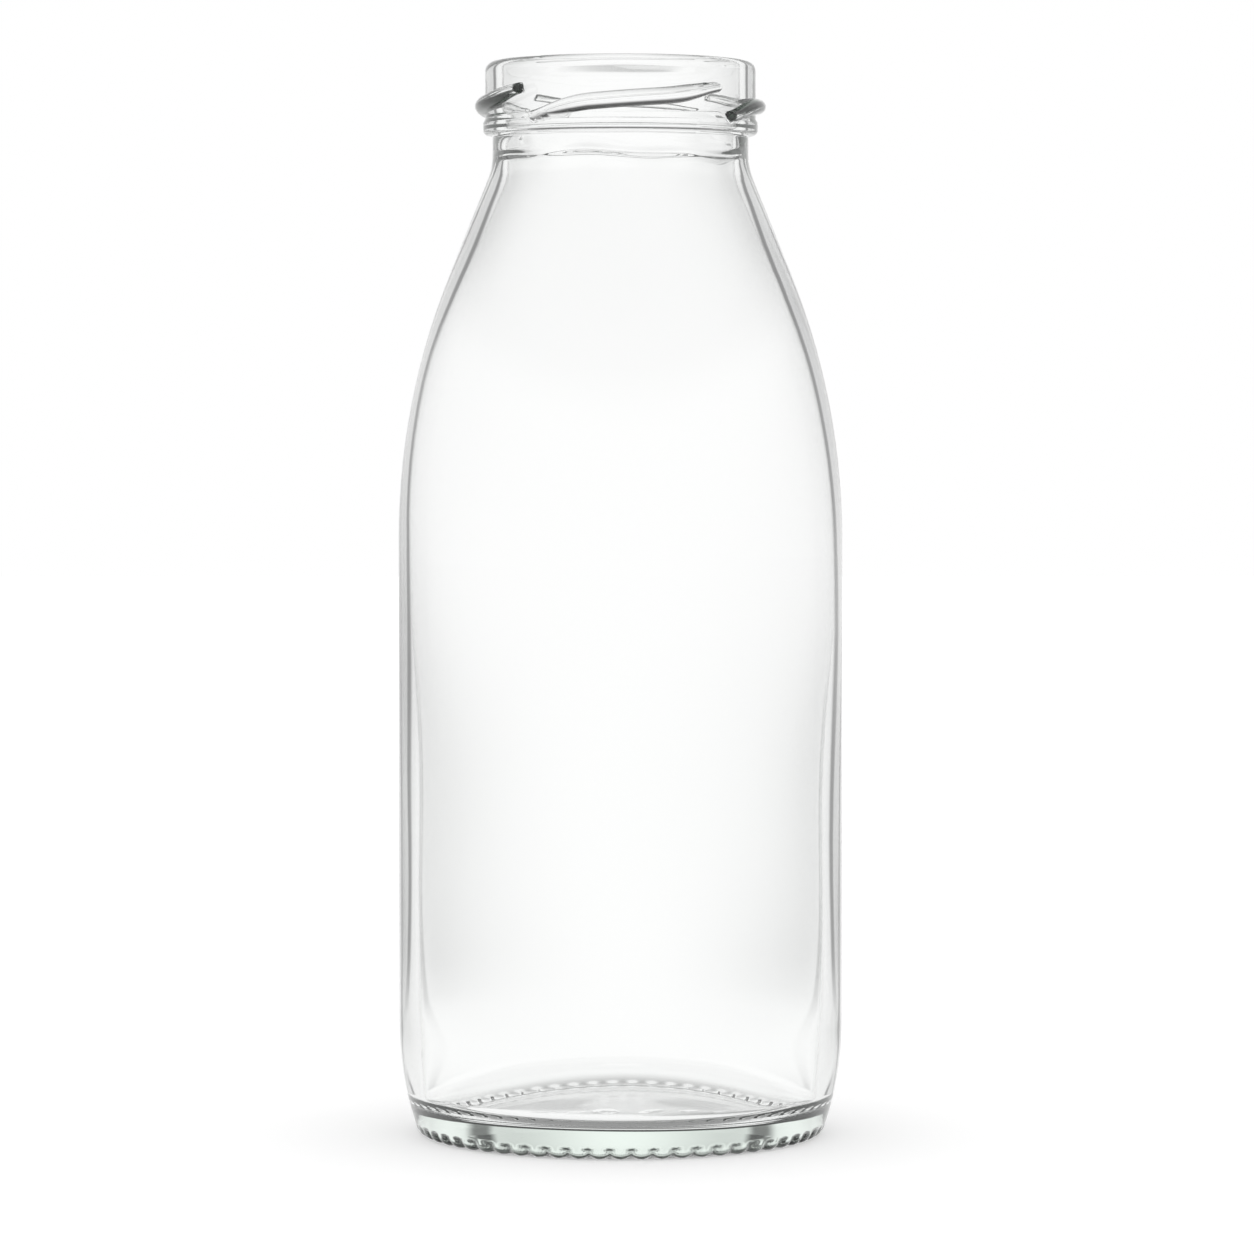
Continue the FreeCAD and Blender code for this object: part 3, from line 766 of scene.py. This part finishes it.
def floor_material(stage, group):
    """White floor that keeps the bottle's shadow; glass shows it as part of the studio, with painted light
    and shade: soft lights and dark cards further out, darker where seen steeply down.
    """
    material, tree = new_material("white_floor")
    out = tree.nodes.new("ShaderNodeOutputMaterial")
    diffuse = tree.nodes.new("ShaderNodeBsdfDiffuse")
    diffuse.inputs["Color"].default_value = (stage.floor_tone, stage.floor_tone, stage.floor_tone, 1.0)
    lift = tree.nodes.new("ShaderNodeEmission")
    lift.inputs["Strength"].default_value = stage.floor_lift
    both = tree.nodes.new("ShaderNodeAddShader")
    tree.links.new(diffuse.outputs["BSDF"], both.inputs[0])
    tree.links.new(lift.outputs["Emission"], both.inputs[1])
    place = tree.nodes.new("ShaderNodeTexCoord").outputs["Object"]
    room = room_node(tree, group, place)
    far = tree.nodes.new("ShaderNodeVectorMath")
    far.operation = "LENGTH"
    tree.links.new(place, far.inputs[0])
    # Painted light and shade: further out, the floor that refracted rays see carries the studio's soft lights
    # and dark cards by its place round the bottle
    painted_studio_share = mapped(tree, far.outputs["Value"], stage.painted_cards_far, PAINTED_CARDS_GROWTH * stage.painted_cards_far, 0.0, 1.0)
    path = tree.nodes.new("ShaderNodeLightPath")
    lights = mixed(tree, painted_studio_share, 1.0, room["Lights"])
    cards = mixed(tree, painted_studio_share, 1.0, room["Cards"])
    refracts = path.outputs["Is Transmission Ray"]
    side = mixed(tree, refracts, 1.0, seen_sides(tree, path, stage, lights, cards, room["Behind"]))
    # Painted shade: the floor that glass shows is darkened where it is seen steeply down, fully near the
    # bottle and to a share of that further out
    facing = tree.nodes.new("ShaderNodeLayerWeight").outputs["Facing"]
    reach = mapped(tree, far.outputs["Value"], stage.steep_painted_shade_far, PAINTED_SHADE_FADE * stage.steep_painted_shade_far, 1.0, PAINTED_SHADE_LEFT)
    steep = mixed(tree, reach, 1.0, mapped(tree, facing, *PAINTED_SHADE_EDGES, stage.steep_painted_shade_tone, 1.0))
    # Painted light and shade: the floor glows for glass with the painted lights, cards and shade
    painted_floor_glow = tree.nodes.new("ShaderNodeEmission")
    tree.links.new(math_node(tree, "MULTIPLY", side, steep), painted_floor_glow.inputs["Strength"])
    glass_sees = math_node(tree, "MAXIMUM", path.outputs["Is Glossy Ray"], refracts)
    choice = tree.nodes.new("ShaderNodeMixShader")
    tree.links.new(glass_sees, choice.inputs["Fac"])
    tree.links.new(both.outputs["Shader"], choice.inputs[1])
    tree.links.new(painted_floor_glow.outputs["Emission"], choice.inputs[2])
    tree.links.new(choice.outputs["Shader"], out.inputs["Surface"])
    return material


def studio_world(stage, group):
    """White all round for the camera, plain surfaces and reflections; refracted rays see the whole studio."""
    world = bpy.data.worlds.new("white_studio")
    world.use_nodes = True
    tree = world.node_tree
    tree.nodes.clear()
    out = tree.nodes.new("ShaderNodeOutputWorld")
    background = tree.nodes.new("ShaderNodeBackground")
    background.inputs["Color"].default_value = (1.0, 1.0, 1.0, 1.0)
    tree.links.new(background.outputs["Background"], out.inputs["Surface"])
    room = room_node(tree, group, tree.nodes.new("ShaderNodeTexCoord").outputs["Generated"])
    path = tree.nodes.new("ShaderNodeLightPath")
    # Painted shade: refracted rays see the studio darkened after several reflections
    side = seen_sides(tree, path, stage, room["Lights"], room["Cards"], room["Behind"])
    whole = math_node(tree, "MULTIPLY", side, room["Ceiling"])
    strength = mixed(tree, path.outputs["Is Transmission Ray"], 1.0, whole)
    tree.links.new(strength, background.inputs["Strength"])
    bpy.context.scene.world = world


# ---------------------------------------------------------------- operators

class BOTTLE_OT_glass(bpy.types.Operator):
    """Build the bottle's glass as one closed surface"""

    bl_idname = "bottle.glass"
    bl_label = "Glass bottle"

    def execute(self, context):
        scene = context.scene
        mesh = bottle_mesh(scene.bottle_body, scene.bottle_base, scene.bottle_finish)
        bottle = bpy.data.objects.new("glass_bottle", mesh)
        scene.collection.objects.link(bottle)
        mesh.materials.append(glass_material(scene.bottle_glass))
        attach(bottle, "root")
        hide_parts(*NODES)
        return {"FINISHED"}


class BOTTLE_OT_stage(bpy.types.Operator):
    """Build the floor, the white studio and the camera"""

    bl_idname = "bottle.stage"
    bl_label = "White stage"

    def execute(self, context):
        stage = context.scene.bottle_stage
        half = stage.floor_size / 2
        mesh = bpy.data.meshes.new("floor")
        corners = [(-half, -half, 0), (half, -half, 0), (half, half, 0), (-half, half, 0)]
        mesh.from_pydata(corners, [], [(0, 1, 2, 3)])
        group = room_group(stage)
        mesh.materials.append(floor_material(stage, group))
        floor = bpy.data.objects.new("floor", mesh)
        context.scene.collection.objects.link(floor)
        studio_world(stage, group)
        add_camera(context.scene, stage)
        if hasattr(context.scene, "cycles"):
            context.scene.cycles.max_bounces = stage.bounces
            context.scene.cycles.glossy_bounces = stage.bounces
            context.scene.cycles.transmission_bounces = stage.bounces
        return {"FINISHED"}


def add_camera(scene, stage):
    """A long lens at about two thirds of the bottle's height, looking slightly down at it."""
    data = bpy.data.cameras.new("camera")
    data.lens = stage.lens
    data.sensor_width = 36.0
    camera = bpy.data.objects.new("camera", data)
    camera.location = (0.0, -stage.distance, stage.eye_height)
    down = math.atan2(stage.eye_height - stage.aim_height, stage.distance)
    aside = math.atan2(stage.aim_side, stage.distance)
    camera.rotation_euler = (0.5 * math.pi - down, 0.0, -aside)
    scene.collection.objects.link(camera)
    scene.camera = camera
    scene.view_settings.view_transform = "Standard"


class BOTTLE_PT_panel(bpy.types.Panel):
    """Sizes, finishes and builders of the bottle"""

    bl_idname = "BOTTLE_PT_panel"
    bl_label = "Glass milk bottle"
    bl_space_type = "VIEW_3D"
    bl_region_type = "UI"
    bl_category = "Bottle"

    def draw(self, context):
        layout = self.layout
        for name in GROUPS:
            group = getattr(context.scene, name)
            box = layout.box()
            for key in group.bl_rna.properties.keys():
                if key not in ("rna_type", "name"):
                    box.prop(group, key)
        for operator in STEPS:
            layout.operator(operator.bl_idname)


GROUPS = {
    "bottle_body": BottleBody,
    "bottle_base": BottleBase,
    "bottle_finish": BottleFinish,
    "bottle_glass": BottleGlass,
    "bottle_stage": BottleStage,
}
STEPS = (BOTTLE_OT_stage, BOTTLE_OT_glass)


def register():
    for name, group in GROUPS.items():
        bpy.utils.register_class(group)
        setattr(bpy.types.Scene, name, bpy.props.PointerProperty(type=group))
    for cls in (*STEPS, BOTTLE_PT_panel):
        bpy.utils.register_class(cls)


def unregister():
    for cls in (BOTTLE_PT_panel, *reversed(STEPS)):
        bpy.utils.unregister_class(cls)
    for name, group in reversed(GROUPS.items()):
        delattr(bpy.types.Scene, name)
        bpy.utils.unregister_class(group)


def main():
    register()
    bpy.ops.bottle.stage()
    bpy.ops.bottle.glass()


if __name__ == "__main__":
    main()
